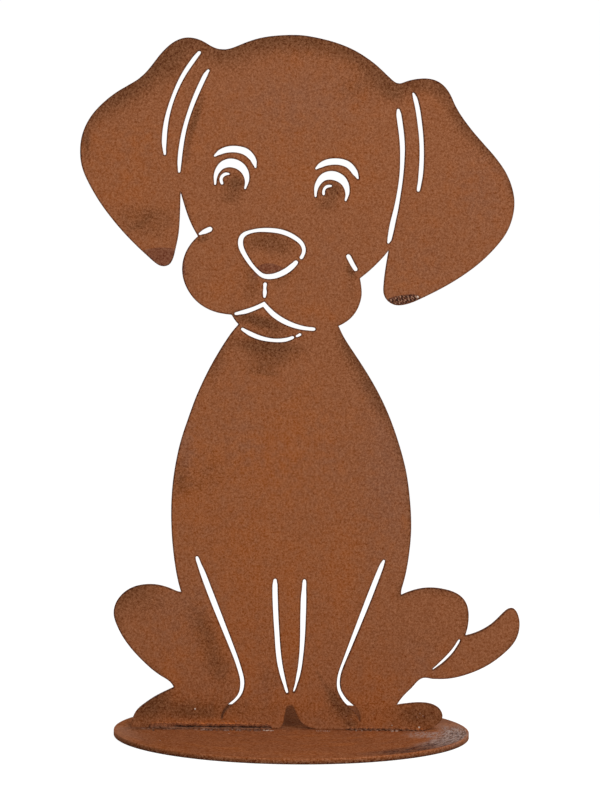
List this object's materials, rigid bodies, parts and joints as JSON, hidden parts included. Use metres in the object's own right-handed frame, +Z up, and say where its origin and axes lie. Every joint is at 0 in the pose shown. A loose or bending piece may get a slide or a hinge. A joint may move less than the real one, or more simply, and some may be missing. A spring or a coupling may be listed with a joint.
{
  "type": "rusted steel dog silhouette ornament",
  "caption": "Seated puppy cut from one flat sheet of rusted steel, its face and legs drawn by narrow slots, welded upright on a round steel base disc.",
  "frame": {"origin": "centre of the base disc's underside, on the surface that the ornament stands on", "axes": "+Z up; -Y towards a viewer who faces the puppy; +X to that viewer's right, towards the tail"},
  "size_m": [0.2513, 0.2, 0.3948],
  "materials": {
    "rusted_sheet": "even matt brown rust with a fine mottled grain",
    "rusted_disc": "matt brown rust, rubbed bare in streaks",
    "rusted_weld": "rough dark weld with lighter ridges"
  },
  "bodies": {
    "root": {"dog_silhouette": "rusted_sheet", "base_disc": "rusted_disc", "weld_front_left": "rusted_weld", "weld_front_right": "rusted_weld", "weld_rear_left": "rusted_weld", "weld_rear_right": "rusted_weld"}
  },
  "joints": []
}
